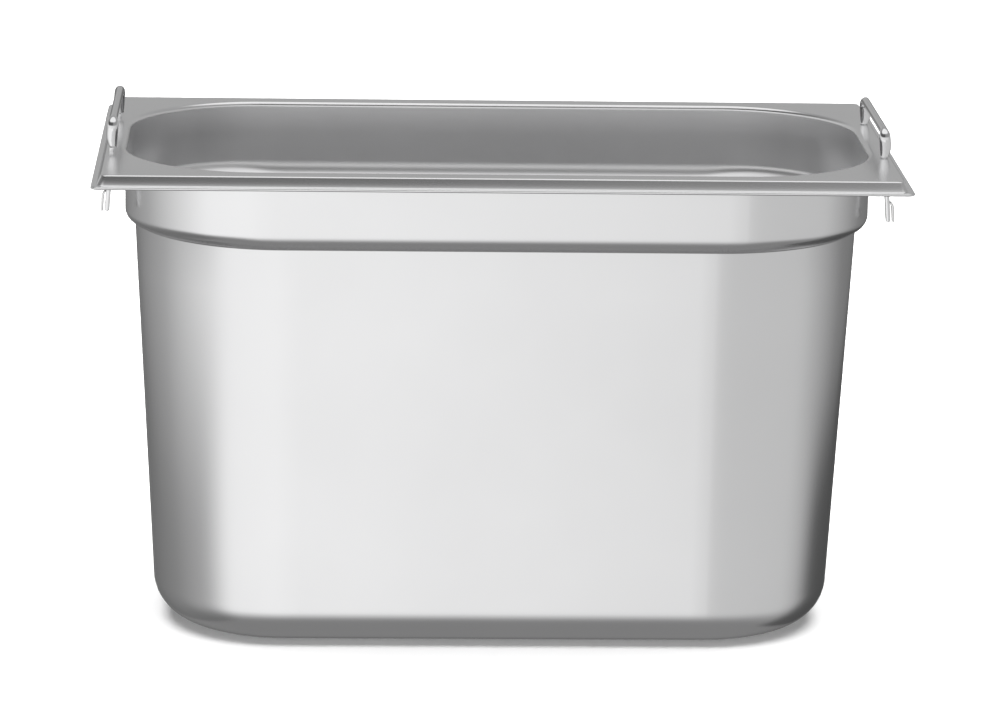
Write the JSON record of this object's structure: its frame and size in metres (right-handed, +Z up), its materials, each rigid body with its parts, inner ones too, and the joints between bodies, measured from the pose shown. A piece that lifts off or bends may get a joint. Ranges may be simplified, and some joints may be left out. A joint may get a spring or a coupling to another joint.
{
  "type": "gastronorm food pan with drop handles",
  "caption": "Deep rectangular stainless food pan with a stepped bowl, a hemmed rim and a sliding drop handle on each short side.",
  "frame": {"origin": "centre of the base, on the surface that the pan stands on", "axes": "+Z up through the mouth, +X along the long side of the rim towards the right handle, +Y away from the front"},
  "size_m": [0.325, 0.176, 0.2142],
  "materials": {
    "pan_steel": "satin",
    "handle_steel": "polished",
    "clip_steel": "polished"
  },
  "bodies": {
    "pan": {"pan_shell": "pan_steel"},
    "left_drop_handle": {"left_handle": "handle_steel", "left_front_clip": "clip_steel", "left_rear_clip": "clip_steel"},
    "right_drop_handle": {"right_handle": "handle_steel", "right_front_clip": "clip_steel", "right_rear_clip": "clip_steel"}
  },
  "joints": [
    {"name": "left_handle_slide", "type": "slide", "parent": "pan", "child": "left_drop_handle", "axis": [0.0785, 0, 0.9969], "range_m": [-0.002, 0.0122]},
    {"name": "right_handle_slide", "type": "slide", "parent": "pan", "child": "right_drop_handle", "axis": [-0.0785, 0, 0.9969], "range_m": [0, 0.0142]}
  ]
}
